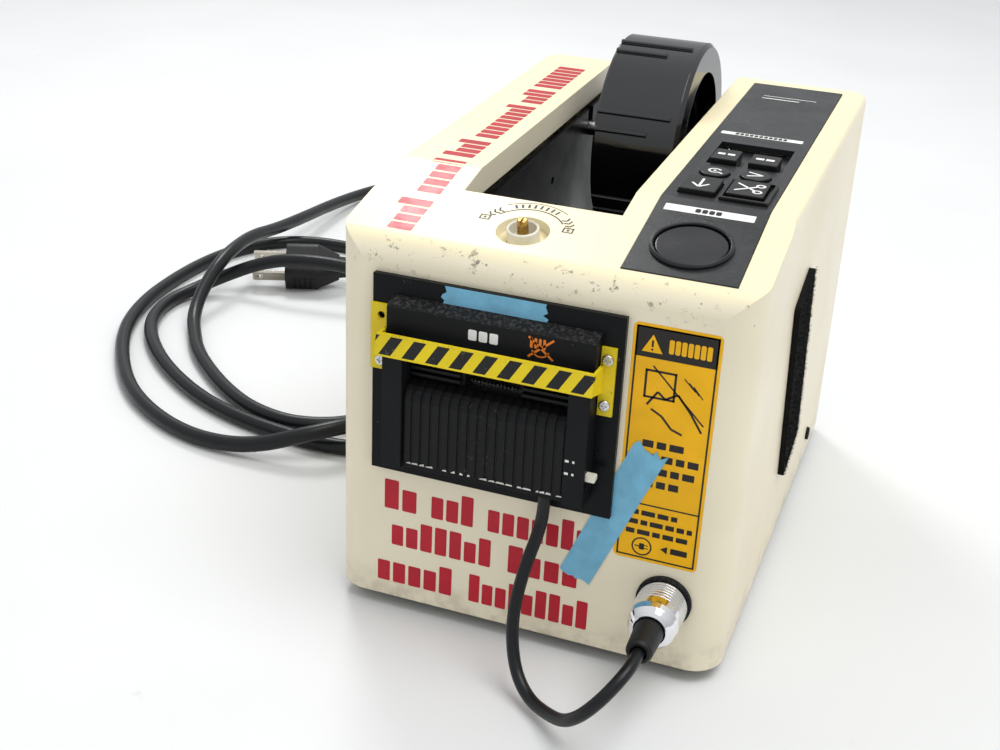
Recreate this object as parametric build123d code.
from build123d import *
import math
import os

# Electronic tape dispenser. Millimetres, +Z up, front towards -Y. Lengths along X are counted from the
# casing's left side, along Y from its front face and along Z from the floor. Every part is moved at the end
# so that the origin is the bottom centre of the machine's box, with its cord and plug left out.

# Casing
CASING_WIDTH = 132.0
CASING_DEPTH = 202.0
FOOT_HEIGHT = 5.0
FOOT_RADIUS = 7.0
FOOT_INSET = 16.0
WALL = 3.0
FRONT_HEIGHT = 130.7
BEND_Y = 49.4
BEND_HEIGHT = 141.7
REAR_HEIGHT = 146.9
TOP_FRONT_RADIUS = 8.0
FRONT_CORNER_RADIUS = 10.5
REAR_CORNER_RADIUS = 7.0
TOP_EDGE_RADIUS = 2.6
PATCH = 2.0
SCREW_HEAD = 1.2
PLATE = 1.6

# Well that holds the roll, and the mechanism frame round it
WELL_LEFT = 28.6
WELL_WIDTH = 52.0
WELL_FRONT = 34.5
WELL_FLOOR = 46.0
LIP_DEPTH = 9.0
LIP_WALL = 2.5
PLATE_GAP = 0.2
TAPE_HEIGHT = 92.0

# Tape hub and its axle
HUB_RADIUS = 37.8
HUB_WIDTH = 32.1
HUB_OFFSET = 13.9
HUB_Y = 164.3
HUB_Z = 127.65
AXLE_RADIUS = 3.0
RUNNING_FIT = 0.05
RIB_GROUPS = 7
RIB_HEIGHT = 1.0
RIB_WIDTH = 1.8

# Feed rollers, gears and motor
FEED_RADIUS = 10.0
PRESS_RADIUS = 7.0
ROLLER_GAP = 0.3
FEED_Y = 20.0
ROLLER_LENGTH = 28.0
MODULE = 1.0
GEAR_TEETH = 30
PINION_TEETH = 12
GEAR_WIDTH = 5.0
MOTOR_ANGLE = 40.0
MOTOR_RADIUS = 15.0
MOTOR_CLEARANCE = 4.0

# Cutter
CUT_STROKE = 5.0
BLADE_THICKNESS = 1.2
PLUNGER_RADIUS = 4.0
SOLENOID_TOP = 46.0

# Nose
NOSE_WIDTH = 79.9
NOSE_LOW = 54.2
NOSE_HIGH = 120.7
NOSE_PLATE = 2.0
CHEEK_FRONT = 10.0
CHEEK_WIDTH = 6.6
MOUTH_WIDTH = 53.0
BLOCK_LOW = 60.0
BLOCK_HIGH = 103.6
COVER_HIGH = 115.0
APRON_RIBS = 17
RIB_RELIEF = 0.45
SLOT_WIDTH = 18.0

# Control panel and keys
PANEL_INSET = 7.9
PANEL_WIDTH = 34.4
PANEL_THICKNESS = 2.0
PANEL_PROUD = 0.3
PANEL_FRONT = 6.6
PANEL_REAR = 193.0
KEY_TRAVEL = 1.2
KEY_GAP = 0.35
KEY_FLANGE = 0.8
BUTTON_RADIUS = 10.9
BUTTON_TRAVEL = 1.5

# Pressure adjuster
PRESSURE_Y = 17.2
RECESS_RADIUS = 8.2
RECESS_DEPTH = 3.5
COLLAR_RADIUS = 5.0
SCREW_RADIUS = 1.75
SCREW_REACH = 19.6

# Sensor connector
SOCKET_Z = 28.7
SOCKET_FROM_RIGHT = 18.8
RING_RADIUS = 8.0
RING_LENGTH = 16.0
BOOT_LENGTH = 12.0
BOOT_RECESS = 2.0
LEAD_RADIUS = 2.0

# Rear
REAR_PANEL_HIGH = 46.0
REAR_WINDOW_HIGH = 43.0
GLAND_X = 40.0
GLAND_Z = 30.0
RELIEF_LENGTH = 35.0
CORD_RADIUS = 3.25
ROCKER_TILT = 8.0
PIN_RADIUS = 1.0

# Power cord: its route from the strain relief to the plug, X and Y counted from the strain relief's end
CORD_ROUTE = [
    (0, 0, 30), (0, 25, 30), (-2, 57, 23), (-10, 90, 11), (-26, 122, 3.3), (-50, 153, 3.3),
    (-82, 180, 3.3), (-120, 200, 3.3), (-156, 208, 3.3), (-186, 200, 3.3), (-206, 177, 3.3),
    (-215, 147, 4.5), (-216, 110, 8.5), (-214, 71, 12.8), (-214, 40, 16), (-212.5, 10, 21.8),
    (-209.5, -21.5, 21.5), (-208.5, -44, 12), (-203.5, -61, 5.2), (-194, -75.5, 3.3), (-183, -91, 3.3),
    (-167, -107, 3.3), (-150, -121, 3.3), (-133, -131.5, 3.3), (-115, -136.5, 3.3),
    (-102, -134.5, 3.3), (-91, -128.5, 3.3), (-82.5, -118.5, 3.3), (-78, -106, 3.3), (-76, -82, 3.3),
    (-77, -52, 3.3), (-81, -22, 3.3), (-88, 6, 3.3), (-103, 31, 3.3), (-127, 49, 3.3), (-157, 60, 3.3),
    (-190, 65, 3.3), (-216, 58, 3.3), (-232, 38, 3.3), (-239, 10, 3.3), (-240, -21, 3.3),
    (-237, -53, 3.3), (-227, -84, 3.3), (-209, -113, 3.3), (-187, -139, 3.3), (-161, -157, 3.3),
    (-136, -165.5, 3.3), (-112, -165, 5.5), (-90, -157, 12.8), (-76, -140, 12.8), (-68, -117, 5.5),
    (-66, -91, 3.3), (-65, -66, 3.3), (-67, -43, 5.5), (-74, -24, 12.2), (-88, -9, 13.5),
    (-108, -2, 14.5), (-131, -2, 18), (-156, -5, 21.5), (-181, -9.5, 21), (-198, -11.5, 15.5),
    (-212.3, -17.4, 9), (-222.8, -29.2, 4.3), (-227, -46, 3.3), (-222.6, -67, 3.3), (-212, -85, 3.3),
    (-196, -103, 3.3), (-177, -119, 3.3), (-155, -133, 3.3), (-131, -142.5, 3.3), (-106, -147, 3.3),
    (-86, -148, 3.3), (-67, -143, 3.3), (-54, -130, 3.3), (-49.5, -111, 3.3), (-50, -82, 3.3),
    (-51, -53, 3.3), (-51, -26, 3.3), (-56, -2, 5.5), (-68, 15, 11.5), (-86, 26, 13), (-110, 32.5, 13),
    (-132, 30.2, 11), (-152, 21.7, 10.8),
]
PLUG_FRONT = (-189.0, 6.0)
PLUG_TURN = 23.0
PLUG_ROLL = 32.0
PLUG_Z = 10.8

# Sensor lead: its route from the boot to the underside of the nose, X and Y counted from the boot
LEAD_ROUTE = [
    (0, 0, 28.7), (0, -7.9, 28.7), (-2.5, -14.8, 25.9), (-6.6, -19, 20.8), (-11.6, -19.6, 14.7),
    (-17.4, -15.8, 8.4), (-24.5, -9.8, 4.9), (-31.5, -4.6, 4), (-37.6, 0.4, 7.8), (-41.4, 5.2, 16),
    (-42.7, 9.5, 26), (-41.7, 15, 37.5), (-39.9, 20, 46.5), (-39.2, 22.5, 53), (-39.2, 22.5, 60),
]

# Derived places
WELL_RIGHT = WELL_LEFT + WELL_WIDTH
WELL_CENTER = WELL_LEFT + WELL_WIDTH / 2
FRONT_TILT = math.degrees(math.atan2(BEND_HEIGHT - FRONT_HEIGHT, BEND_Y))
REAR_TILT = math.degrees(math.atan2(REAR_HEIGHT - BEND_HEIGHT, CASING_DEPTH - BEND_Y))
LEFT_PLATE_X = WELL_LEFT + PLATE_GAP
RIGHT_PLATE_X = WELL_RIGHT - PLATE_GAP - PLATE
FRAME_LEFT = LEFT_PLATE_X + PLATE
FRAME_RIGHT = RIGHT_PLATE_X
FRAME_REAR = CASING_DEPTH - WALL - 1.7
PANEL_LEFT = WELL_RIGHT + PANEL_INSET
PANEL_CENTER = PANEL_LEFT + PANEL_WIDTH / 2
NOSE_CENTER = WELL_CENTER - 0.5
NOSE_LEFT = NOSE_CENTER - NOSE_WIDTH / 2
NOSE_RIGHT = NOSE_CENTER + NOSE_WIDTH / 2
MOUTH_LEFT = NOSE_CENTER - MOUTH_WIDTH / 2
MOUTH_RIGHT = NOSE_CENTER + MOUTH_WIDTH / 2
BLOCK_LEFT = MOUTH_LEFT - CHEEK_WIDTH
BLOCK_RIGHT = MOUTH_RIGHT + CHEEK_WIDTH
SLOT_LOW = TAPE_HEIGHT - 3.2
FEED_Z = TAPE_HEIGHT - FEED_RADIUS
PRESS_Z = TAPE_HEIGHT + ROLLER_GAP + PRESS_RADIUS
LEVER_Y = FEED_Y + 11.0
LEVER_Z = PRESS_Z + 5.7
LEVER_TOP = PRESS_Z + PRESS_RADIUS + 3.0
GEAR_CENTERS = MODULE * (GEAR_TEETH + PINION_TEETH) / 2
GEAR_X = WELL_RIGHT + 5.9
MOTOR_Y = FEED_Y + GEAR_CENTERS * math.cos(math.radians(MOTOR_ANGLE))
MOTOR_Z = FEED_Z - GEAR_CENTERS * math.sin(math.radians(MOTOR_ANGLE))
BRACKET_X = GEAR_X + GEAR_WIDTH + 1.5
MOTOR_X = BRACKET_X + 2.0
MOTOR_LENGTH = CASING_WIDTH - WALL - MOTOR_CLEARANCE - MOTOR_X
HUB_LEFT = WELL_LEFT + HUB_OFFSET
SOCKET_X = CASING_WIDTH - SOCKET_FROM_RIGHT
SOLENOID_Y = 16.0
REAR_EDGE = REAR_CORNER_RADIUS + 0.5
ROCKER_X = (WELL_RIGHT + CASING_WIDTH - WALL) / 2
ROCKER_Z = 26.0
ROCKER_Y = CASING_DEPTH - WALL - 3.5
RING_FRONT = 2.0 + RING_LENGTH
RELIEF_END = CASING_DEPTH - WALL + 3.0 + RELIEF_LENGTH
LEAD_START = RING_FRONT + BOOT_LENGTH - BOOT_RECESS
HUB_REACH = HUB_Y + HUB_RADIUS + RIB_HEIGHT
ORIGIN = Vector((CASING_WIDTH + PATCH - SCREW_HEAD) / 2, (HUB_REACH - RING_FRONT) / 2, 0)


# Alignments for shapes that rise from, or sink under, the plane they are placed on
RISING = (Align.CENTER, Align.CENTER, Align.MIN)
SINKING = (Align.CENTER, Align.CENTER, Align.MAX)


def top_z(y):
    """Height of the casing's top surface at a distance y from the front face."""
    if y < BEND_Y:
        return FRONT_HEIGHT + (BEND_HEIGHT - FRONT_HEIGHT) * y / BEND_Y
    return BEND_HEIGHT + (REAR_HEIGHT - BEND_HEIGHT) * (y - BEND_Y) / (CASING_DEPTH - BEND_Y)


def top_plane(x, y, raised=0.0):
    """Plane that lies on the casing's top surface, with its normal pointing out."""
    tilt = math.radians(FRONT_TILT if y < BEND_Y else REAR_TILT)
    normal = Vector(0, -math.sin(tilt), math.cos(tilt))
    return Plane(Vector(x, y, top_z(y)) + normal * raised, x_dir=(1, 0, 0), z_dir=normal)


def key_plane(x, y):
    return top_plane(x, y, PANEL_PROUD)


def block(x0, x1, y0, y1, z0, z1):
    return Pos(x0, y0, z0) * Box(x1 - x0, y1 - y0, z1 - z0, align=(Align.MIN,) * 3)


def rod(start, direction, radius, length):
    return Plane(start, z_dir=direction) * Cylinder(radius, length, align=RISING)


def rod_x(x0, x1, y, z, radius):
    return rod((x0, y, z), (1, 0, 0), radius, x1 - x0)


def rod_y(x, y0, y1, z, radius):
    return rod((x, y0, z), (0, 1, 0), radius, y1 - y0)


def rod_z(x, y, z0, z1, radius):
    return rod((x, y, z0), (0, 0, 1), radius, z1 - z0)


def side_sheet(points, x0, x1):
    """Solid between x0 and x1 whose outline in the YZ plane is given by points."""
    outline = Plane((x0, 0, 0), x_dir=(0, 1, 0), z_dir=(1, 0, 0)) * make_face(Polyline(*points, close=True))
    return extrude(outline, x1 - x0)


def front_sheet(points, y, depth):
    """Solid between y and y + depth whose outline in the XZ plane is given by points."""
    outline = Plane((0, y, 0), x_dir=(1, 0, 0), z_dir=(0, -1, 0)) * make_face(Polyline(*points, close=True))
    return extrude(outline, -depth)


def turned(profile, start, direction):
    """Solid of revolution: profile points are (distance along the axis, radius)."""
    face = make_face(Polyline(*[(radius, 0, along) for along, radius in profile], close=True))
    return Plane(start, z_dir=direction) * revolve(face, Axis.Z)


# Casing ----------------------------------------------------------------------------------------

def casing_blank(inset, bottom):
    """Casing outline, drawn in from every side by inset, closed on top and cut off at bottom."""
    tilt = math.radians(FRONT_TILT)
    drop = inset / math.cos(tilt)
    radius = max(TOP_FRONT_RADIUS - inset, 1.0)
    run = radius * math.tan((math.pi / 2 - tilt) / 2)
    rear = CASING_DEPTH - inset
    low = (inset, top_z(inset) - drop)
    arc_start = (inset, low[1] - run)
    arc_end = (inset + run * math.cos(tilt), low[1] + run * math.sin(tilt))
    outline = [
        Line((inset, bottom), arc_start),
        TangentArc(arc_start, arc_end, tangent=(0, 1)),
        Line(arc_end, (BEND_Y, BEND_HEIGHT - inset)),
        Line((BEND_Y, BEND_HEIGHT - inset), (rear, top_z(rear) - inset)),
        Line((rear, top_z(rear) - inset), (rear, bottom)),
        Line((rear, bottom), (inset, bottom)),
    ]
    side = Plane((inset, 0, 0), x_dir=(0, 1, 0), z_dir=(1, 0, 0)) * make_face(outline)
    body = extrude(side, CASING_WIDTH - 2 * inset)
    corners = body.edges().filter_by(Axis.Z).sort_by(Axis.Y)
    body = fillet(corners[-2:], max(REAR_CORNER_RADIUS - inset, 1.0))
    plan = block(inset, CASING_WIDTH - inset, inset, CASING_DEPTH - inset, bottom, REAR_HEIGHT + 5)
    front = plan.edges().filter_by(Axis.Z).sort_by(Axis.Y)[:2]
    return body & fillet(front, max(FRONT_CORNER_RADIUS - inset, 1.0))


def top_band(x0, x1, y0, y1, low, high):
    """Piece of the casing's top layer, from low to high under the top surface."""
    crest = [(y0, top_z(y0) - low), (BEND_Y, BEND_HEIGHT - low), (y1, top_z(y1) - low)]
    base = [(y1, top_z(y1) - high), (BEND_Y, BEND_HEIGHT - high), (y0, top_z(y0) - high)]
    return side_sheet(crest + base, x0, x1)


KEY_WINDOW = (PANEL_LEFT + 1.4, PANEL_LEFT + PANEL_WIDTH - 1.6, 50.2, 115.0)


def make_housing_shell():
    outer = casing_blank(0, FOOT_HEIGHT)
    crown = [e for e in outer.edges() if e.center().Z > FRONT_HEIGHT + 2 and e.center().Y > 30
             and abs(e.center().X - CASING_WIDTH / 2) > CASING_WIDTH / 2 - REAR_CORNER_RADIUS]
    outer = fillet(crown, TOP_EDGE_RADIUS)
    shell = outer - casing_blank(WALL, FOOT_HEIGHT - 5)
    lip = top_band(WELL_LEFT - LIP_WALL, WELL_RIGHT + LIP_WALL, WELL_FRONT - LIP_WALL, CASING_DEPTH - WALL,
                   1.0, LIP_DEPTH)
    shell += lip
    high = REAR_HEIGHT + 10
    shell -= block(WELL_LEFT, WELL_RIGHT, WELL_FRONT, CASING_DEPTH + 5, REAR_PANEL_HIGH + 4, high)
    shell += top_plane(WELL_CENTER, PRESSURE_Y) * Pos(0, 0, -4) * Cylinder(RECESS_RADIUS + 3, 6)
    cup = Pos(0, 0, 1 - RECESS_DEPTH / 2) * Cylinder(RECESS_RADIUS, RECESS_DEPTH + 2)
    shell -= top_plane(WELL_CENTER, PRESSURE_Y) * (cup + Cylinder(COLLAR_RADIUS + 0.1, 30))
    gap = 0.15
    shell -= top_band(PANEL_LEFT - gap, PANEL_LEFT + PANEL_WIDTH + gap, PANEL_FRONT - gap, PANEL_REAR + gap,
                      -5.0, PANEL_THICKNESS - PANEL_PROUD)
    x0, x1, y0, y1 = KEY_WINDOW
    shell -= block(x0, x1, y0, y1, BEND_HEIGHT - 12, high)
    shell -= key_plane(*BUTTON_PLACE) * Cylinder(BUTTON_RADIUS + 0.4, 20)
    shell -= block(MOUTH_LEFT, MOUTH_RIGHT, -5, WALL + 1, BLOCK_LOW + 1.5, BLOCK_HIGH)
    shell -= rod_y(SOCKET_X, -5, WALL + 5, SOCKET_Z, 6.1)
    for x, z in GUARD_SCREWS + [SPARE_HOLE]:
        shell -= rod_y(x, -1, WALL + 1, z, 1.2)
    shell -= block(REAR_EDGE + 4, CASING_WIDTH - REAR_EDGE - 4, CASING_DEPTH - WALL - 1, CASING_DEPTH + 5,
                   FOOT_HEIGHT + 4, REAR_WINDOW_HIGH)
    for x in (0, CASING_WIDTH):
        shell -= rod_x(x - WALL - 1, x + WALL + 1, SIDE_SCREW[0], SIDE_SCREW[1], 1.6)
    return shell


def make_base_plate():
    plate = block(WALL + 0.2, CASING_WIDTH - WALL - 0.2, WALL + 0.2, CASING_DEPTH - WALL - 0.2,
                  FOOT_HEIGHT, FOOT_HEIGHT + 1.5)
    plate = fillet(plate.edges().filter_by(Axis.Z), FRONT_CORNER_RADIUS - WALL)
    for i in range(6):
        plate -= block(92, 118, 80 + 12 * i, 84 + 12 * i, 0, 20)
    return plate


def make_rubber_feet():
    foot = Cone(FOOT_RADIUS - 1.2, FOOT_RADIUS, FOOT_HEIGHT, align=RISING)
    return [Pos(x, y, 0) * foot for x in (FOOT_INSET, CASING_WIDTH - FOOT_INSET)
            for y in (FOOT_INSET, CASING_DEPTH - FOOT_INSET)]


SIDE_SCREW = (161.2, 15.5)
PANEL_SCREWS = [(x, z) for x in (16, CASING_WIDTH - 16) for z in (13, 38)]


def screw_head(radius, height, shank, length):
    """Cross-head screw along +Z, head up from z = 0, shank down."""
    head = Cylinder(radius, height, align=RISING)
    head = fillet(head.edges().sort_by(Axis.Z)[-1], height * 0.45)
    cross = Box(radius * 1.1, 0.5, height) + Box(0.5, radius * 1.1, height)
    body = head + Cylinder(shank, length, align=SINKING)
    return body - Pos(0, 0, height) * cross


def make_casing_screws():
    y, z = SIDE_SCREW
    screws = [Plane((CASING_WIDTH, y, z), z_dir=(1, 0, 0)) * screw_head(2.6, SCREW_HEAD, 1.5, 5),
              Plane((0, y, z), z_dir=(-1, 0, 0)) * screw_head(2.6, SCREW_HEAD, 1.5, 5)]
    rear = CASING_DEPTH - WALL
    for x, z in PANEL_SCREWS:
        screws.append(Plane((x, rear, z), z_dir=(0, 1, 0)) * screw_head(2.4, 1.4, 1.45, 4))
    return screws


def make_side_patch():
    patch = Box(PATCH, 26, 74)
    patch = fillet(patch.edges().filter_by(Axis.X), 2.0)
    return Pos(CASING_WIDTH + PATCH / 2, 88, 73) * Rot(X=15) * patch


# Mechanism frame -------------------------------------------------------------------------------

def frame_plate(x0):
    base = FOOT_HEIGHT + 1.5
    low = LIP_DEPTH + 0.6
    outline = [(5, base), (FRAME_REAR, base), (FRAME_REAR, top_z(FRAME_REAR) - low), (38, top_z(38) - low),
               (38, 118), (5, 118)]
    plate = side_sheet(outline, x0, x0 + PLATE)
    slot = AXLE_RADIUS + RUNNING_FIT
    plate -= rod_x(x0 - 1, x0 + PLATE + 1, HUB_Y, HUB_Z, slot)
    plate -= block(x0 - 1, x0 + PLATE + 1, HUB_Y - slot, HUB_Y + slot, HUB_Z, HUB_Z + 40)
    plate -= rod_x(x0 - 1, x0 + PLATE + 1, FEED_Y, FEED_Z, AXLE_RADIUS + RUNNING_FIT)
    plate -= rod_x(x0 - 1, x0 + PLATE + 1, LEVER_Y, LEVER_Z, 2 + RUNNING_FIT)
    for i in range(3):
        plate -= rod_x(x0 - 1, x0 + PLATE + 1, 120 + 6 * i, 118 - 12 * i, 1.6)
    return plate


def make_well_tray():
    floor = block(FRAME_LEFT, FRAME_RIGHT, WELL_FRONT + 0.3, FRAME_REAR, WELL_FLOOR, WELL_FLOOR + 1.5)
    front = block(FRAME_LEFT, FRAME_RIGHT, WELL_FRONT + 0.3, WELL_FRONT + 1.8, WELL_FLOOR, 127)
    front -= block(FRAME_LEFT + 3, FRAME_RIGHT - 3, WELL_FRONT - 5, WELL_FRONT + 9,
                   TAPE_HEIGHT - 6, TAPE_HEIGHT + 6)
    return floor + front


def make_rear_panel():
    y1 = CASING_DEPTH - WALL
    panel = block(REAR_EDGE, CASING_WIDTH - REAR_EDGE, y1 - 1.5, y1, FOOT_HEIGHT + 1.7, REAR_PANEL_HIGH)
    panel -= rod_y(GLAND_X, y1 - 5, y1 + 5, GLAND_Z, 7.0)
    panel -= block(ROCKER_X - 9.6, ROCKER_X + 9.6, y1 - 5, y1 + 5, ROCKER_Z - 6.6, ROCKER_Z + 6.6)
    for x, z in PANEL_SCREWS:
        panel -= rod_y(x, y1 - 5, y1 + 5, z, 1.5)
    for i in range(7):
        panel -= block(55 + 4 * i, 57 + 4 * i, y1 - 5, y1 + 5, 20, 36)
    return panel


# Hub -------------------------------------------------------------------------------------------

def make_tape_hub():
    x = HUB_WIDTH
    profile = [
        (-1.6, AXLE_RADIUS + RUNNING_FIT), (-1.6, 5), (0, 5), (0, 12), (6, 14), (6, 26), (0, 28),
        (0, HUB_RADIUS - 0.8), (0.8, HUB_RADIUS), (x - 1.5, HUB_RADIUS), (x, HUB_RADIUS - 1.5), (x, 27),
        (10, 26), (10, 19), (x - 5, 18), (x - 5, 15), (10, 15), (10, 7), (x + 1.6, 5.5),
        (x + 1.6, AXLE_RADIUS + RUNNING_FIT),
    ]
    hub = turned(profile, (HUB_LEFT, HUB_Y, HUB_Z), (1, 0, 0))
    for i in range(RIB_GROUPS):
        for offset, length in ((0, 28.0), (-10, 20.0)):
            angle = 180 - 360 * i / RIB_GROUPS + offset
            rib = block(0.6, length, -RIB_WIDTH / 2, RIB_WIDTH / 2, HUB_RADIUS - 2, HUB_RADIUS + RIB_HEIGHT)
            rib = fillet(rib.edges().filter_by(Axis.X).sort_by(Axis.Z)[-2:], 0.6)
            hub += Pos(HUB_LEFT, HUB_Y, HUB_Z) * Rot(X=90 - angle) * rib
    return hub


def make_hub_axle():
    axle = rod_x(LEFT_PLATE_X + 0.1, FRAME_RIGHT + PLATE - 0.1, HUB_Y, HUB_Z, AXLE_RADIUS)
    return chamfer(axle.edges().filter_by(GeomType.CIRCLE), 0.5)


# Feed mechanism --------------------------------------------------------------------------------

def toothed_wheel(teeth, x0, width, y, z, bore, phase):
    """Spur gear along X with straight-sided teeth that leave plenty of backlash."""
    pitch = MODULE * teeth / 2
    root, tip = pitch - 1.15 * MODULE, pitch + 0.8 * MODULE
    step = 2 * math.pi / teeth
    points = []
    for i in range(teeth):
        for fraction, radius in ((-0.30, root), (-0.11, tip), (0.11, tip), (0.30, root)):
            angle = phase + (i + fraction) * step
            points.append((radius * math.cos(angle), radius * math.sin(angle)))
    face = Plane((x0, y, z), x_dir=(0, 1, 0), z_dir=(1, 0, 0)) * make_face(Polyline(*points, close=True))
    wheel = extrude(face, width)
    return wheel - rod_x(x0 - 1, x0 + width + 1, y, z, bore) if bore else wheel


def mesh_phase(teeth, towards, tooth):
    """Phase that puts a tooth, or a gap, on the line towards the other gear."""
    return towards if tooth else towards + math.pi / teeth


def make_feed_gear():
    phase = mesh_phase(GEAR_TEETH, -math.radians(MOTOR_ANGLE), True)
    return toothed_wheel(GEAR_TEETH, GEAR_X, GEAR_WIDTH, FEED_Y, FEED_Z, AXLE_RADIUS, phase)


def make_motor_pinion():
    towards = math.pi - math.radians(MOTOR_ANGLE)
    gear = toothed_wheel(PINION_TEETH, GEAR_X - 0.3, GEAR_WIDTH + 0.6, MOTOR_Y, MOTOR_Z, 0,
                         mesh_phase(PINION_TEETH, towards, False))
    return gear + rod_x(GEAR_X, MOTOR_X + 8, MOTOR_Y, MOTOR_Z, 1.5)


def make_feed_motor():
    can = rod_x(MOTOR_X, MOTOR_X + MOTOR_LENGTH, MOTOR_Y, MOTOR_Z, MOTOR_RADIUS)
    can = fillet(can.edges().filter_by(GeomType.CIRCLE), 1.5)
    can += rod_x(MOTOR_X - 2, MOTOR_X + 1, MOTOR_Y, MOTOR_Z, 4.5)
    return can - rod_x(MOTOR_X - 3, MOTOR_X + 10, MOTOR_Y, MOTOR_Z, 1.5 + RUNNING_FIT)


def make_motor_bracket():
    plate = block(BRACKET_X, MOTOR_X, MOTOR_Y - 14, MOTOR_Y + 14, MOTOR_Z - 14.5, MOTOR_Z + 14.5)
    plate -= rod_x(BRACKET_X - 1, MOTOR_X + 1, MOTOR_Y, MOTOR_Z, 4.6)
    for dy, dz in ((10.5, 10), (-6, -12)):
        plate += rod_x(RIGHT_PLATE_X + PLATE, BRACKET_X, MOTOR_Y + dy, MOTOR_Z + dz, 2.5)
    return plate


def make_feed_shaft():
    return rod_x(LEFT_PLATE_X + 0.1, GEAR_X + GEAR_WIDTH + 0.5, FEED_Y, FEED_Z, AXLE_RADIUS)


def make_feed_roller():
    half = ROLLER_LENGTH / 2
    roller = rod_x(WELL_CENTER - half, WELL_CENTER + half, FEED_Y, FEED_Z, FEED_RADIUS)
    for i in range(-2, 3):
        groove = rod_x(WELL_CENTER + 5 * i - 0.6, WELL_CENTER + 5 * i + 0.6, FEED_Y, FEED_Z, FEED_RADIUS + 1)
        roller -= groove - rod_x(0, CASING_WIDTH, FEED_Y, FEED_Z, FEED_RADIUS - 1)
    return roller - rod_x(0, CASING_WIDTH, FEED_Y, FEED_Z, AXLE_RADIUS)


def make_pressure_roller():
    half = ROLLER_LENGTH / 2 - 3.5
    roller = rod_x(WELL_CENTER - half, WELL_CENTER + half, FEED_Y, PRESS_Z, PRESS_RADIUS)
    return roller - rod_x(0, CASING_WIDTH, FEED_Y, PRESS_Z, 2 + RUNNING_FIT)


def make_pressure_lever():
    half = ROLLER_LENGTH / 2
    web = block(WELL_CENTER - half, WELL_CENTER + half, FEED_Y - 7, LEVER_Y + 2, LEVER_TOP - 2, LEVER_TOP)
    for side in (-1, 1):
        x = WELL_CENTER + side * (half - 1)
        web += block(x - 1, x + 1, FEED_Y - 3, LEVER_Y + 2, PRESS_Z - 3, LEVER_TOP)
    web += rod_x(LEFT_PLATE_X + 0.1, RIGHT_PLATE_X + PLATE - 0.1, LEVER_Y, LEVER_Z, 2)
    return web + rod_x(WELL_CENTER - half, WELL_CENTER + half, FEED_Y, PRESS_Z, 2)


def coil_spring(x, y, z0, z1, radius, wire, turns):
    length = z1 - z0 - 2 * wire
    path = Helix(length / turns, length, radius)
    section = Plane(path @ 0, z_dir=path % 0) * Circle(wire)
    return Pos(x, y, z0 + wire) * sweep(section, path)


def make_lever_spring():
    return coil_spring(WELL_CENTER, FEED_Y + 1.5, LEVER_TOP + 0.2, LEVER_TOP + 5.0, 3.2, 0.45, 3)


def make_pressure_collar():
    profile = [
        (-9, SCREW_RADIUS + RUNNING_FIT), (-9, RECESS_RADIUS), (-7.2, RECESS_RADIUS), (-7.2, COLLAR_RADIUS),
        (1.0, COLLAR_RADIUS), (1.4, COLLAR_RADIUS - 0.4), (1.0, COLLAR_RADIUS - 0.8),
        (-3.0, COLLAR_RADIUS - 0.8), (-3.0, SCREW_RADIUS + RUNNING_FIT),
    ]
    plane = top_plane(WELL_CENTER, PRESSURE_Y)
    return turned(profile, plane.origin, plane.z_dir)


def make_pressure_screw():
    plane = top_plane(WELL_CENTER, PRESSURE_Y)
    stem = Pos(0, 0, 4) * Cylinder(SCREW_RADIUS, 4 + SCREW_REACH, align=SINKING)
    stem = fillet(stem.edges().sort_by(Axis.Z)[-1], 0.5)
    stem += Pos(0, 0, 0.5 - SCREW_REACH) * Cylinder(3.6, 1.0)
    stem -= Pos(0, 0, 4) * Box(0.7, 2 * SCREW_RADIUS + 1, 2.4)
    for i in range(4):
        z = 0.4 + 0.6 * i
        ring = Cylinder(SCREW_RADIUS + 1, 0.25) - Cylinder(SCREW_RADIUS - 0.2, 0.25)
        stem -= Pos(0, 0, z) * ring
    return plane * stem


# Cutter ----------------------------------------------------------------------------------------

BLADE_Y = 3.4
BLADE_LOW = TAPE_HEIGHT + 2.0
CARRIAGE_LOW = SOLENOID_TOP + CUT_STROKE + 2.0


def make_moving_blade():
    x0, x1 = WELL_CENTER - 17.5, WELL_CENTER + 17.5
    blade = block(x0, x1, BLADE_Y, BLADE_Y + BLADE_THICKNESS, BLADE_LOW, BLADE_LOW + 8)
    wedge = [(x0 - 1, BLADE_LOW - 1), (x1 + 1, BLADE_LOW - 1), (x1 + 1, BLADE_LOW + 1.4)]
    return blade - front_sheet(wedge, BLADE_Y - 1, 4)


def make_blade_carriage():
    back = BLADE_Y + BLADE_THICKNESS
    x0, x1 = WELL_CENTER - 20.5, WELL_CENTER + 20.5
    bar = block(x0, x1, back, back + 2, BLADE_LOW + 3, BLADE_LOW + 9)
    for x in (x0, x1 - 2.8):
        bar += block(x, x + 2.8, BLADE_Y, back + 2, CARRIAGE_LOW, BLADE_LOW + 9)
    return bar + block(x0, x1, BLADE_Y, SOLENOID_Y + 6, CARRIAGE_LOW, CARRIAGE_LOW + 4)


def make_plunger():
    return rod_z(WELL_CENTER, SOLENOID_Y, SOLENOID_TOP - 18, CARRIAGE_LOW, PLUNGER_RADIUS)


def make_return_spring():
    return coil_spring(WELL_CENTER, SOLENOID_Y, SOLENOID_TOP + 0.1, CARRIAGE_LOW - 0.1, 5.6, 0.5, 2)


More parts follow.
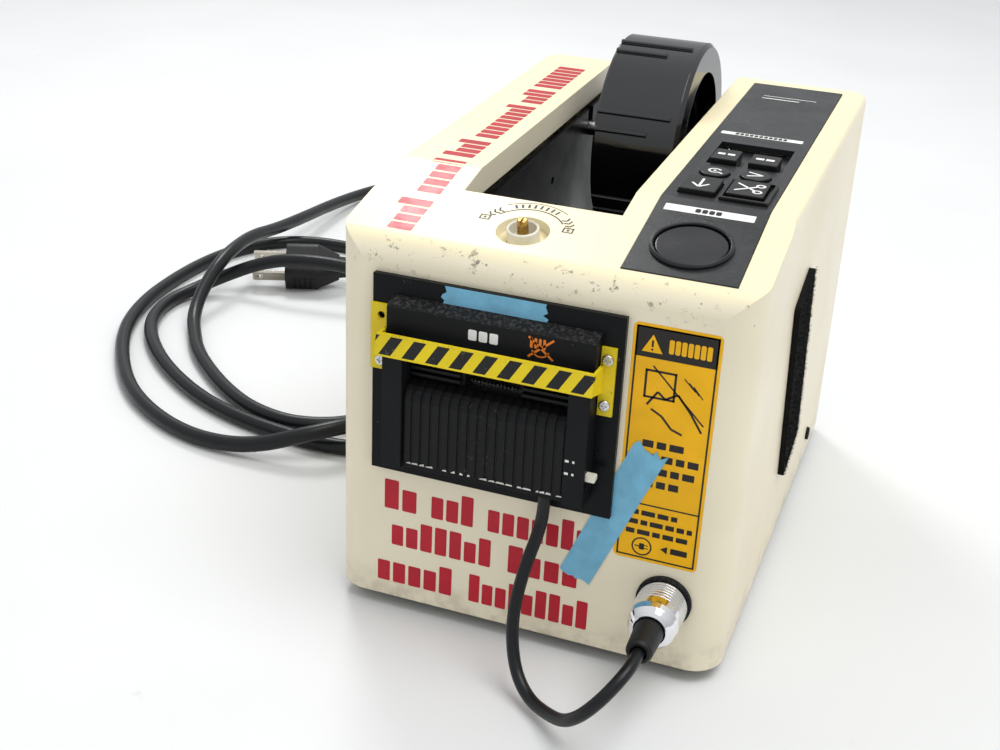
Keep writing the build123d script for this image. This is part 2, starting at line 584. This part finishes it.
def make_cutter_solenoid():
    x0, x1 = WELL_CENTER - 14, WELL_CENTER + 14
    low = SOLENOID_TOP - 30
    frame = block(x0, x1, SOLENOID_Y - 11, SOLENOID_Y + 11, low, SOLENOID_TOP)
    frame -= block(x0 + 3, x1 - 3, SOLENOID_Y - 12, SOLENOID_Y + 12, low + 3, SOLENOID_TOP - 3)
    frame += rod_z(WELL_CENTER, SOLENOID_Y, low + 3, SOLENOID_TOP - 3, 10)
    frame += block(x0, x1, SOLENOID_Y - 8, SOLENOID_Y + 8, FOOT_HEIGHT + 1.5, low)
    return frame - rod_z(WELL_CENTER, SOLENOID_Y, SOLENOID_TOP - 18 - CUT_STROKE - 1, SOLENOID_TOP + 1,
                         PLUNGER_RADIUS + 0.3)


def make_fixed_blade():
    x0, x1 = NOSE_CENTER - SLOT_WIDTH / 2 - 2, NOSE_CENTER + SLOT_WIDTH / 2 + 2
    y0, top = BLADE_Y - BLADE_THICKNESS, SLOT_LOW + 0.8
    blade = block(x0, x1, y0, BLADE_Y - 0.2, top - 8, top)
    count = 18
    step = (x1 - x0) / count
    for i in range(count):
        x = x0 + step * i
        notch = [(x, top + 0.1), (x + step, top + 0.1), (x + step / 2, top - 0.9)]
        blade -= front_sheet(notch, y0 - 1, 5)
    return blade


# Nose ------------------------------------------------------------------------------------------

def make_nose_plate():
    plate = block(NOSE_LEFT, NOSE_RIGHT, -NOSE_PLATE, 0, NOSE_LOW, NOSE_HIGH)
    plate -= block(MOUTH_LEFT, MOUTH_RIGHT, -9, 9, BLOCK_LOW + 1.5, BLOCK_HIGH)
    for x, z in GUARD_SCREWS + [SPARE_HOLE]:
        plate -= rod_y(x, -9, 9, z, 1.2)
    return plate


def make_nose_block():
    frame = block(BLOCK_LEFT, BLOCK_RIGHT, -CHEEK_FRONT, -NOSE_PLATE, BLOCK_LOW, BLOCK_HIGH - 1)
    frame -= block(MOUTH_LEFT, MOUTH_RIGHT, -CHEEK_FRONT - 1, 0, BLOCK_LOW + 2, BLOCK_HIGH)
    frame -= block(MOUTH_LEFT, MOUTH_RIGHT, -CHEEK_FRONT - 1, -8, BLOCK_LOW - 1, BLOCK_HIGH)
    slot = block(BLOCK_RIGHT - 2.2, BLOCK_RIGHT + 1, -8.9, -6.1, SWITCH_Z - 4.9, SWITCH_Z + 1.4)
    return frame - slot


SWITCH_Z = 70.2


def make_sensor_switch():
    slider = block(BLOCK_RIGHT - 2.0, BLOCK_RIGHT + 3.0, -8.7, -6.3, SWITCH_Z - 1.1, SWITCH_Z + 1.1)
    return fillet(slider.edges().filter_by(Axis.Y).sort_by(Axis.X)[-2:], 0.5)


def make_nose_cover():
    half = (BLOCK_RIGHT - BLOCK_LEFT) / 2
    outline = [(-NOSE_PLATE, BLOCK_HIGH - 1), (-7, BLOCK_HIGH - 1), (-7, COVER_HIGH - 2.2),
               (-6.4, COVER_HIGH - 1.6), (-NOSE_PLATE, COVER_HIGH)]
    return side_sheet(outline, NOSE_CENTER - half, NOSE_CENTER + half)


def apron_section(grow):
    """Outline of the apron: upright front, rounded shoulder and short top, thicker by grow."""
    front, top, shoulder = -8.4 - grow, 87.8 + grow, 4.5
    low = BLOCK_LOW + 2.2
    outline = [(front, low)]
    for degrees in (0, 22.5, 45, 67.5, 90):
        angle = math.radians(degrees)
        outline.append((front + shoulder * (1 - math.cos(angle)), top - shoulder * (1 - math.sin(angle))))
    return outline + [(-NOSE_PLATE, top + 0.6), (-NOSE_PLATE, 85), (-4, 85), (-6.4, 81), (-6.4, low)]


def make_tape_apron():
    left, right = MOUTH_LEFT + 0.2, MOUTH_RIGHT - 0.2
    apron = side_sheet(apron_section(0), left, right)
    step = (right - left) / APRON_RIBS
    for i in range(APRON_RIBS):
        x = left + step * (i + 0.5)
        apron += side_sheet(apron_section(RIB_RELIEF), x - step * 0.32, x + step * 0.32)
    return apron


def make_outlet_louvres():
    low = 85.0
    left, right = MOUTH_LEFT + 0.2, MOUTH_RIGHT - 0.2
    slot_left, slot_right = NOSE_CENTER - SLOT_WIDTH / 2, NOSE_CENTER + SLOT_WIDTH / 2
    plate = block(left, right, -1.5, 2.0, low, BLOCK_HIGH - 0.2)
    for i in range(6):
        z = SLOT_LOW + 1.3 + 2.1 * i
        for x0, x1 in ((left, slot_left - 1), (slot_right + 1, right)):
            plate += block(x0, x1, -3.6, -1.5, z, z + 1.0)
    return plate - block(slot_left, slot_right, -9, 9, SLOT_LOW, SLOT_LOW + 8)


EAR_WIDTH = 4.6
STRAP = 1.0
GUARD_SCREWS = [(BLOCK_RIGHT + 2.5, 107.2), (BLOCK_RIGHT + 2.5, 92.6), (BLOCK_LEFT - 3.6, 92.9)]
SPARE_HOLE = (BLOCK_LEFT - 3.6, 107.7)


def make_safety_guard():
    left, right = BLOCK_LEFT - 0.3, BLOCK_RIGHT + 0.3
    band = [(-10.7, 105.8), (-12.4, 99.0), (-13.3, 99.0), (-11.6, 105.8)]
    guard = side_sheet(band, left - STRAP, right + STRAP)
    for x in (left - STRAP, right):
        strap = [(-NOSE_PLATE, 95.8), (-NOSE_PLATE, 105.2), (-11.0, 105.4), (-12.9, 99.2)]
        guard += side_sheet(strap, x, x + STRAP)
    guard += block(left - EAR_WIDTH - 2.2, left, -NOSE_PLATE - STRAP, -NOSE_PLATE, 89.6, 111.4)
    guard += block(right, right + EAR_WIDTH, -NOSE_PLATE - STRAP, -NOSE_PLATE, 89.0, 111.0)
    for x, z in GUARD_SCREWS + [SPARE_HOLE]:
        guard -= rod_y(x, -NOSE_PLATE - STRAP - 1, 1, z, 1.2)
    return guard


def make_guard_screws():
    face = -NOSE_PLATE - STRAP
    return [Plane((x, face, z), z_dir=(0, -1, 0)) * screw_head(1.75, 1.0, 1.15, 4.5) for x, z in GUARD_SCREWS]


# Control panel ---------------------------------------------------------------------------------

BUTTON_PLACE = (PANEL_LEFT + 16.6, 23.3)
KEYS = {
    "unit_key_coarse": (PANEL_LEFT + 10.7, 93.3, 8.8, 11.0, 1.7),
    "unit_key_fine": (PANEL_LEFT + 23.8, 93.0, 9.6, 10.2, 1.7),
    "memory_key": (PANEL_LEFT + 10.5, 77.3, 9.7, 0, 0.9),
    "repeat_key": (PANEL_LEFT + 23.7, 78.6, 9.8, 0, 0.9),
    "feed_key": (PANEL_LEFT + 9.7, 61.2, 11.8, 13.8, 1.7),
    "cut_key": (PANEL_LEFT + 24.4, 63.2, 11.8, 13.8, 1.5),
}


def key_blank(width, length, low, high):
    """Round key when length is 0, else a rounded rectangle, between two heights over the panel."""
    if not length:
        return Pos(0, 0, low) * Cylinder(width / 2, high - low, align=RISING)
    body = Pos(0, 0, low) * Box(width, length, high - low, align=RISING)
    return fillet(body.edges().filter_by(Axis.Z), 0.8)


def make_key(name):
    x, y, width, length, height = KEYS[name]
    cap = key_blank(width, length, -3.6, height)
    cap = fillet(cap.edges().group_by(Axis.Z)[-1], 0.4)
    rim = 2 * KEY_FLANGE
    flange = key_blank(width + rim, length + rim if length else 0, -3.6, -PANEL_THICKNESS - 0.4)
    return key_plane(x, y) * (cap + flange)


def make_auto_button():
    cap = Pos(0, 0, -4.6) * Cylinder(BUTTON_RADIUS, 5.2, align=RISING)
    cap = fillet(cap.edges().sort_by(Axis.Z)[-1], 0.5)
    cap += Pos(0, 0, -4.6) * Cylinder(BUTTON_RADIUS + 1.2, 0.9, align=RISING)
    return key_plane(*BUTTON_PLACE) * cap


def make_button_bezel():
    profile = [(0, BUTTON_RADIUS + 0.4), (0, BUTTON_RADIUS + 1.8), (0.7, BUTTON_RADIUS + 1.7),
               (1.3, BUTTON_RADIUS + 1.1), (1.3, BUTTON_RADIUS + 0.7), (0.9, BUTTON_RADIUS + 0.4)]
    plane = key_plane(*BUTTON_PLACE)
    return turned(profile, plane.origin, plane.z_dir)


def make_control_panel():
    panel = top_band(PANEL_LEFT, PANEL_LEFT + PANEL_WIDTH, PANEL_FRONT, PANEL_REAR,
                     -PANEL_PROUD, PANEL_THICKNESS - PANEL_PROUD)
    for name, (x, y, width, length, height) in KEYS.items():
        if name.startswith("unit"):
            continue
        gap = 2 * KEY_GAP
        panel -= key_plane(x, y) * key_blank(width + gap, length + gap if length else 0, -6, 6)
    left, right = KEYS["unit_key_coarse"], KEYS["unit_key_fine"]
    panel -= block(left[0] - 5.5, right[0] + 6.7, left[1] - 6.4, left[1] + 18.7, BEND_HEIGHT - 9, REAR_HEIGHT + 9)
    return panel - key_plane(*BUTTON_PLACE) * Cylinder(BUTTON_RADIUS + 0.4, 12)


def make_cut_key_guard():
    x, y, width, length, height = KEYS["cut_key"]
    outer = key_blank(width + 3.7, length + 5.2, 0, 1.2)
    outer = fillet(outer.edges().group_by(Axis.Z)[-1], 0.4)
    inner = key_blank(width + 1.9, length + 3.4, -1, 6)
    return key_plane(x + 0.5, y - 1.1) * (outer - inner)


def make_keypad_board():
    deck = -8.2
    x, y = PANEL_CENTER - 0.5, 82.0
    board = Pos(0, 0, deck - 1.6) * Box(28, 66, 1.6, align=RISING)
    board = key_plane(x, y) * board
    for kx, ky, width, length, height in KEYS.values():
        board += key_plane(kx, ky) * Pos(0, 0, deck) * Box(6, 6, 2.9, align=RISING)
    for dx in (-12, 12):
        for dy in (-30.5, 31.4):
            post = Pos(dx, dy, deck) * Cylinder(1.2, -deck - PANEL_THICKNESS, align=RISING)
            board += key_plane(x, y) * post
    second = Pos(0, 0, deck - 1.6) * Box(16, 16, 1.6, align=RISING)
    second += Pos(0, 0, deck) * Box(6, 6, 1.9, align=RISING)
    return [board, key_plane(*BUTTON_PLACE) * second]


# Electrics -------------------------------------------------------------------------------------

def make_main_board():
    x = CASING_WIDTH - WALL - 6
    board = block(x, x + 1.6, 66, 190, 14, 112)
    board += block(x - 9, x, 74, 92, 20, 44)
    board += block(x - 6, x, 100, 124, 60, 68)
    board += block(x - 12, x, 150, 156, 22, 60)
    for y in (76, 180):
        for z in (20, 106):
            board += rod_x(x + 1.6, CASING_WIDTH - WALL, y, z, 2.5)
    return board


def make_capacitors():
    x = CASING_WIDTH - WALL - 6
    return [rod_x(x - height, x, y, z, radius) for y, z, radius, height in
            ((108, 30, 8, 22), (128, 30, 8, 22), (138, 54, 5, 14), (170, 84, 5, 14))]


def make_transformer():
    x0, x1, y0, y1 = WELL_CENTER - 20, WELL_CENTER + 20, 112, 160
    low, high = FOOT_HEIGHT + 3.5, WELL_FLOOR - 3
    core = block(x0, x1, y0, y1, low, high)
    core -= block(x0 - 1, x1 + 1, y0 + 8, y0 + 17, low + 7, high - 7)
    core -= block(x0 - 1, x1 + 1, y1 - 17, y1 - 8, low + 7, high - 7)
    coil = block(x0 - 3, x1 + 3, y0 + 9, y1 - 9, low + 8, high - 8)
    feet = block(x0 + 4, x1 - 4, y0 - 9, y1 + 9, FOOT_HEIGHT + 1.5, low)
    return core + fillet(coil.edges().filter_by(Axis.Z), 3) + feet


def make_power_switch():
    y1 = CASING_DEPTH - WALL
    bezel = block(ROCKER_X - 11, ROCKER_X + 11, y1, y1 + 2, ROCKER_Z - 8, ROCKER_Z + 8)
    bezel = fillet(bezel.edges().filter_by(Axis.Y), 1.5)
    bezel += block(ROCKER_X - 9.5, ROCKER_X + 9.5, y1 - 14, y1, ROCKER_Z - 6.5, ROCKER_Z + 6.5)
    bezel -= block(ROCKER_X - 8.6, ROCKER_X + 8.6, y1 - 9, y1 + 5, ROCKER_Z - 5.4, ROCKER_Z + 5.4)
    return bezel - rod_z(ROCKER_X, ROCKER_Y, ROCKER_Z - 6.1, ROCKER_Z + 6.1, PIN_RADIUS + RUNNING_FIT)


def make_power_rocker():
    outline = [(-7.6, -1.6), (0, -3), (7.6, -1.6), (7.6, 5.4), (0, 6.6), (-7.6, 5.4)]
    face = make_face(Polyline(*outline, close=True))
    rocker = Pos(0, 0, -5) * extrude(face, 10) + rod_z(0, 0, -6.0, 6.0, PIN_RADIUS)
    return Pos(ROCKER_X, ROCKER_Y, ROCKER_Z) * Rot(Z=-ROCKER_TILT) * rocker


def make_cord_gland():
    y1 = CASING_DEPTH - WALL
    profile = [(-7, 0), (-7, 6.9), (0, 6.9), (0, 9), (2.5, 9), (2.5, 6.2), (12, 5.4), (RELIEF_END - y1, 4.0),
               (RELIEF_END - y1, 0)]
    gland = turned(profile, (GLAND_X, y1, GLAND_Z), (0, 1, 0))
    for i in range(5):
        y = y1 + 13 + 4.4 * i
        gland -= block(GLAND_X - 9, GLAND_X - 3.4, y, y + 1.4, GLAND_Z - 9, GLAND_Z + 9)
        gland -= block(GLAND_X + 3.4, GLAND_X + 9, y + 2.2, y + 3.6, GLAND_Z - 9, GLAND_Z + 9)
    return gland


# Sensor connector ------------------------------------------------------------------------------

def make_socket_flange():
    profile = [(-7, 4.4), (-7, 6), (0, 6), (0, 8.8), (1.3, 8.8), (1.9, 8.2), (1.9, 6), (8, 6), (8, 4.4)]
    return turned(profile, (SOCKET_X, 0, SOCKET_Z), (0, -1, 0))


def make_coupling_ring():
    grooves = 6
    step = 1.35
    points = [(2.2, 6.3), (2.2, RING_RADIUS)]
    for i in range(grooves):
        base = 3.0 + step * i
        points += [(base, RING_RADIUS), (base + 0.3, RING_RADIUS - 0.45), (base + 0.6, RING_RADIUS)]
    end = RING_FRONT
    points += [(end - 4.5, RING_RADIUS), (end - 2.4, RING_RADIUS - 0.5), (end - 0.9, RING_RADIUS - 1.6),
               (end, RING_RADIUS - 2.6), (end, 5.0), (9, 5.0), (9, 6.3)]
    return turned(points, (SOCKET_X, 0, SOCKET_Z), (0, -1, 0))


def make_connector_boot():
    end = RING_FRONT + BOOT_LENGTH
    profile = [(-5, 0), (-5, 4.2), (RING_FRONT - 2, 4.2), (RING_FRONT + 0.4, 4.6), (end - 1, 4.1), (end, 3.5),
               (end, 2.6), (LEAD_START, 2.6), (LEAD_START, 0)]
    return turned(profile, (SOCKET_X, 0, SOCKET_Z), (0, -1, 0))


# Cords -----------------------------------------------------------------------------------------

def corner_radii(points):
    """Largest arc that the two runs at each corner allow."""
    radii = []
    for before, here, after in zip(points, points[1:], points[2:]):
        arriving, leaving = here - before, after - here
        half_turn = math.radians(arriving.get_angle(leaving)) / 2
        radii.append(0.45 * min(arriving.length, leaving.length) / math.tan(half_turn))
    return radii


def make_cord(name, start, route, radius):
    points = [Vector(*start, 0) + Vector(*point) for point in route]
    radii = corner_radii(points)
    path = FilletPolyline(*points, radius=radii)
    section = Plane(points[0], z_dir=points[1] - points[0]) * Circle(radius)
    tube = sweep(section, path)
    expected = math.pi * radius ** 2 * path.length
    runs = [(b - a).length for a, b in zip(points, points[1:])]
    print(name, "length", round(path.length), "volume ratio", round(tube.volume / expected, 4),
          "runs", [round(r) for r in runs], "radii", [round(r) for r in radii])
    return tube


def plug_frame():
    """Frame at the middle of the plug's front face, +X out along the blades."""
    turn, roll = math.radians(PLUG_TURN), math.radians(PLUG_ROLL)
    out = Vector(-math.cos(turn), -math.sin(turn), 0)
    side = Vector(-math.sin(turn), math.cos(turn), 0)
    up = side * -math.sin(roll) + Vector(0, 0, math.cos(roll))
    return Plane((GLAND_X + PLUG_FRONT[0], RELIEF_END + PLUG_FRONT[1], PLUG_Z), x_dir=out, z_dir=up)


def plug_section(distance, width, height):
    plane = Plane((-distance, 0, 0), x_dir=(0, 1, 0), z_dir=(-1, 0, 0))
    return plane * RectangleRounded(width, height, min(width, height) * 0.3)


def make_plug_body():
    head = loft([plug_section(0, 22, 15.5), plug_section(16, 22, 15.5), plug_section(27, 12, 10)], ruled=True)
    neck = loft([plug_section(26.9, 10, 9), plug_section(40.2, 7.6, 7.6)])
    body = head + neck
    for i in range(4):
        for side in (-1, 1):
            body -= Pos(-5 - 2.6 * i, side * 11, 0) * Box(1.1, 1.0, 9)
    return plug_frame() * body


def make_plug_blades():
    blades = []
    for side in (-1, 1):
        blade = Box(17, 1.5, 6.3, align=(Align.MIN, Align.CENTER, Align.CENTER))
        blade = chamfer(blade.faces().sort_by(Axis.X)[-1].edges().filter_by(Axis.Z), 0.5)
        blade -= Pos(13, 0, 0) * Rot(X=90) * Cylinder(1.5, 5)
        blades.append(plug_frame() * Pos(0, side * 6.35, 0) * blade)
    return blades


def make_parts():
    parts = {
        "housing_shell": make_housing_shell(),
        "base_plate": make_base_plate(),
        "rubber_feet": make_rubber_feet(),
        "rear_panel": make_rear_panel(),
        "casing_screws": make_casing_screws(),
        "side_patch": make_side_patch(),
        "left_side_plate": frame_plate(LEFT_PLATE_X),
        "right_side_plate": frame_plate(RIGHT_PLATE_X),
        "well_tray": make_well_tray(),
        "tape_hub": make_tape_hub(),
        "hub_axle": make_hub_axle(),
        "feed_motor": make_feed_motor(),
        "motor_bracket": make_motor_bracket(),
        "motor_pinion": make_motor_pinion(),
        "feed_gear": make_feed_gear(),
        "feed_shaft": make_feed_shaft(),
        "feed_roller": make_feed_roller(),
        "pressure_roller": make_pressure_roller(),
        "pressure_lever": make_pressure_lever(),
        "lever_spring": make_lever_spring(),
        "pressure_collar": make_pressure_collar(),
        "pressure_screw": make_pressure_screw(),
        "cutter_solenoid": make_cutter_solenoid(),
        "solenoid_plunger": make_plunger(),
        "return_spring": make_return_spring(),
        "blade_carriage": make_blade_carriage(),
        "moving_blade": make_moving_blade(),
        "fixed_blade": make_fixed_blade(),
        "nose_plate": make_nose_plate(),
        "nose_block": make_nose_block(),
        "nose_cover": make_nose_cover(),
        "tape_apron": make_tape_apron(),
        "outlet_louvres": make_outlet_louvres(),
        "safety_guard": make_safety_guard(),
        "guard_screws": make_guard_screws(),
        "sensor_switch": make_sensor_switch(),
        "control_panel": make_control_panel(),
        "button_bezel": make_button_bezel(),
        "auto_button": make_auto_button(),
        "cut_key_guard": make_cut_key_guard(),
        "keypad_board": make_keypad_board(),
        "main_board": make_main_board(),
        "capacitors": make_capacitors(),
        "transformer": make_transformer(),
        "power_switch": make_power_switch(),
        "power_rocker": make_power_rocker(),
        "cord_gland": make_cord_gland(),
        "power_cord": make_cord("power_cord", (GLAND_X, RELIEF_END), CORD_ROUTE, CORD_RADIUS),
        "plug_body": make_plug_body(),
        "plug_blades": make_plug_blades(),
        "socket_flange": make_socket_flange(),
        "coupling_ring": make_coupling_ring(),
        "connector_boot": make_connector_boot(),
        "sensor_lead": make_cord("sensor_lead", (SOCKET_X, -LEAD_START), LEAD_ROUTE, LEAD_RADIUS),
    }
    for name in KEYS:
        parts[name] = make_key(name)
    return parts


def main():
    os.makedirs("parts", exist_ok=True)
    for name, made in make_parts().items():
        pieces = made if isinstance(made, list) else [made]
        solids = [solid for piece in pieces for solid in piece.solids()]
        shape = solids[0] if len(solids) == 1 else Compound(children=solids)
        export_step(Pos(*(ORIGIN * -1)) * shape, f"parts/{name}.step")


if __name__ == "__main__":
    main()
